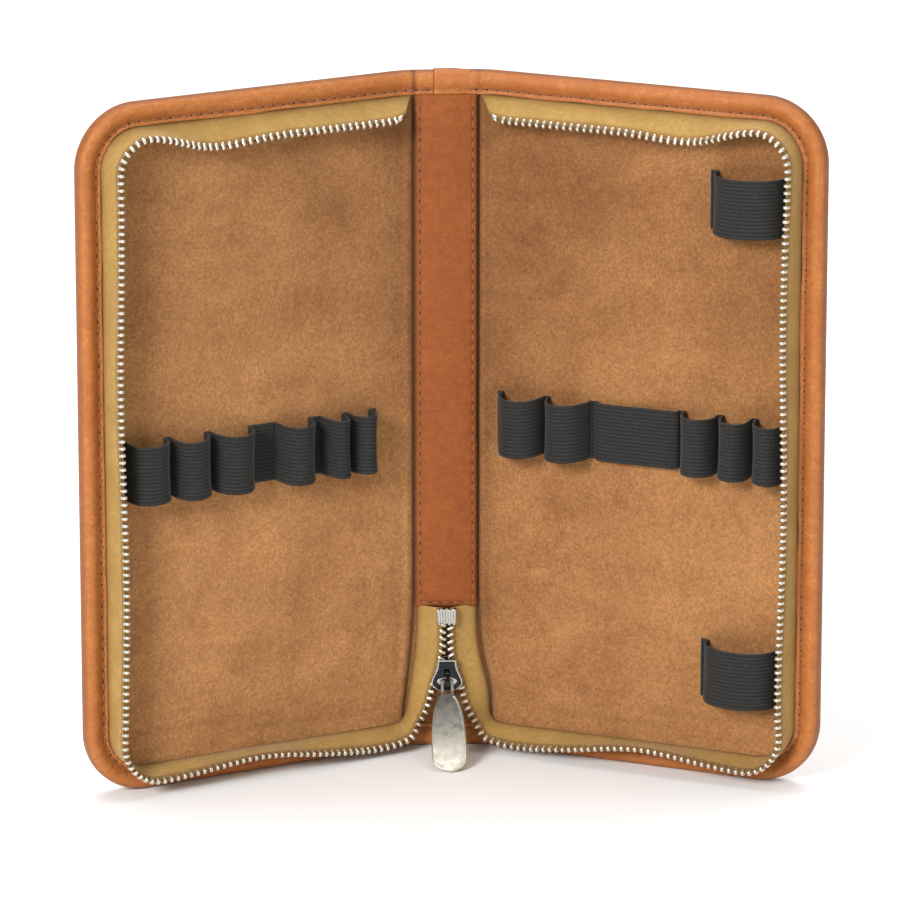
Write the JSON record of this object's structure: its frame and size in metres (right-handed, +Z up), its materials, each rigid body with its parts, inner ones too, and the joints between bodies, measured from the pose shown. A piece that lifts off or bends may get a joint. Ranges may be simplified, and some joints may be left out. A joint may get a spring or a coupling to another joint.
{
  "type": "fountain pen case",
  "caption": "Zip-around leather case standing open on its short end, with suede-lined covers, rows of elastic pen loops, a ruler loop and wide loops for small tools.",
  "frame": {"origin": "centre of the overall box at the floor the open case stands on", "axes": "+X from the front cover to the back cover, +Y from the open inside toward the back of the spine, +Z up along the spine"},
  "size_m": [0.2048, 0.0519, 0.195],
  "materials": {
    "cover_leather": "smooth vegetable-tanned calf, satin",
    "border_leather": "smooth leather strip, satin, stitched",
    "suede_lining": "napped suede",
    "stiffening_board": "pressed fibre board, hidden",
    "zip_tape": "golden khaki twill",
    "zip_metal": "bright silver teeth",
    "slider_metal": "polished",
    "pull_metal": "brushed",
    "elastic": "ribbed woven elastic"
  },
  "bodies": {
    "spine": {"spine_board": "stiffening_board", "spine_border_bottom": "border_leather", "spine_border_top": "border_leather", "spine_leather": "cover_leather", "spine_lining": "suede_lining", "spine_strip": "border_leather", "zip_branch_teeth_back": "zip_metal", "zip_branch_teeth_front": "zip_metal", "zip_chain_tail": "zip_metal", "zip_retainer": "zip_metal", "zip_tail_tape_back": "zip_tape", "zip_tail_tape_front": "zip_tape"},
    "front_cover": {"front_cover_board": "stiffening_board", "front_cover_border": "border_leather", "front_cover_leather": "cover_leather", "front_cover_lining": "suede_lining", "front_gusset_teeth": "zip_metal", "front_pen_loop_1": "elastic", "front_pen_loop_2": "elastic", "front_pen_loop_3": "elastic", "front_pen_loop_4": "elastic", "front_pen_loop_5": "elastic", "front_pen_loop_6": "elastic", "front_top_stop": "zip_metal", "front_zip_gusset": "zip_tape", "front_zip_tape": "zip_tape", "front_zip_teeth": "zip_metal"},
    "back_cover": {"back_cover_board": "stiffening_board", "back_cover_border": "border_leather", "back_cover_leather": "cover_leather", "back_cover_lining": "suede_lining", "back_gusset_teeth": "zip_metal", "back_pen_loop_1": "elastic", "back_pen_loop_2": "elastic", "back_top_stop": "zip_metal", "back_zip_gusset": "zip_tape", "back_zip_tape": "zip_tape", "back_zip_teeth": "zip_metal", "eraser_loop": "elastic", "refill_loop_1": "elastic", "refill_loop_2": "elastic", "refill_loop_3": "elastic", "ruler_loop": "elastic", "sharpener_loop": "elastic"},
    "slider": {"slider_body": "slider_metal"},
    "pull": {"pull_tab": "pull_metal"}
  },
  "joints": [
    {"name": "front_cover_hinge", "type": "hinge", "parent": "spine", "child": "front_cover", "pos_m": [-0.0113, 0.02375, 0], "axis": [0, 0, 1], "range_deg": [-25, 65], "deforming": ["front_zip_gusset", "front_gusset_teeth"]},
    {"name": "back_cover_hinge", "type": "hinge", "parent": "spine", "child": "back_cover", "pos_m": [0.0113, 0.02375, 0], "axis": [0, 0, -1], "range_deg": [-25, 65], "deforming": ["back_zip_gusset", "back_gusset_teeth"]},
    {"name": "slider_travel", "type": "slide", "parent": "spine", "child": "slider", "axis": [0, 0, 1], "range_m": [0, 0.0095], "deforming": ["zip_chain_tail"]},
    {"name": "pull_swing", "type": "hinge", "parent": "slider", "child": "pull", "pos_m": [0, 0.0159, 0.02035], "axis": [-1, 0, 0], "range_deg": [-40, 130]}
  ]
}
